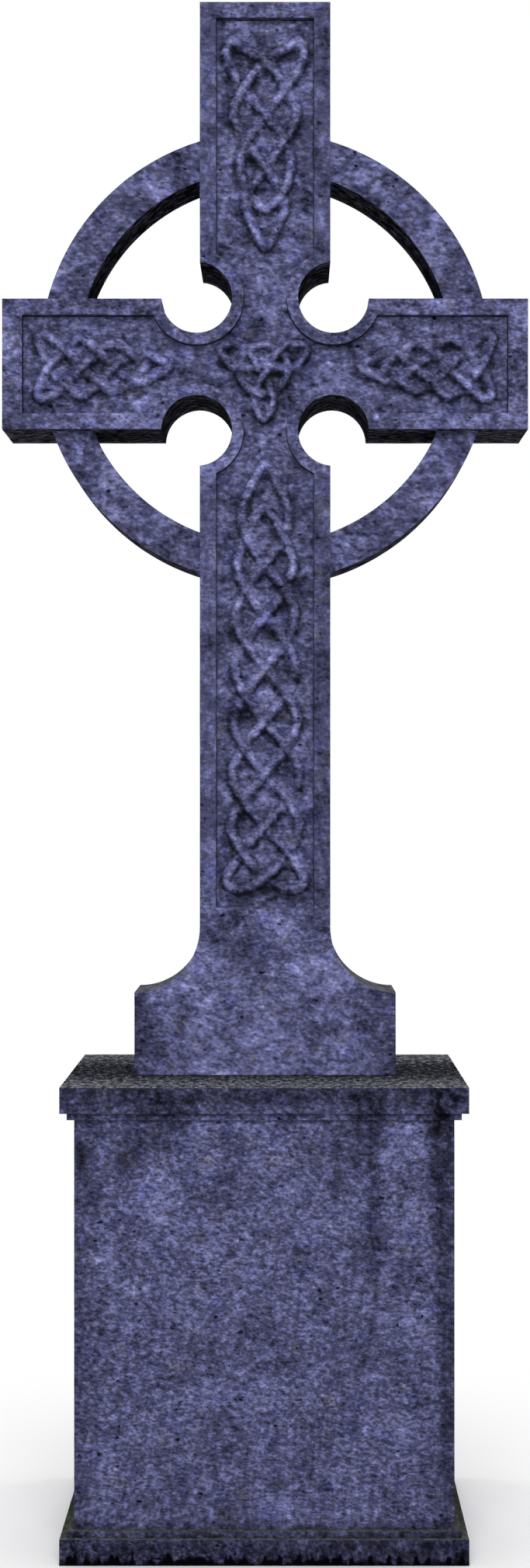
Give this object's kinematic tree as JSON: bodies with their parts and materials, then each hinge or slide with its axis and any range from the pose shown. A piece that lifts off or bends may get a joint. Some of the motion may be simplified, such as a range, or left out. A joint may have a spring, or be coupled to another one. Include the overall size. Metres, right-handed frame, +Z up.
{
  "type": "celtic cross gravestone",
  "caption": "Dark stone ringed cross with sunk panels of interlaced knotwork on its front, standing on a stepped square plinth.",
  "frame": {"origin": "middle of the plinth's underside, on the ground", "axes": "+Z up the shaft, the carved front faces -Y, +X to the right of someone who looks at the front"},
  "size_m": [0.816, 0.61, 2.3737],
  "materials": {
    "cross_stone": "weathered fine-grained slate-blue stone, mottled and finely pitted, matt",
    "plinth_stone": "weathered dark slate-blue stone, water-stained below its cap, matt"
  },
  "bodies": {
    "root": {"plinth": "plinth_stone", "cross": "cross_stone"}
  },
  "joints": []
}
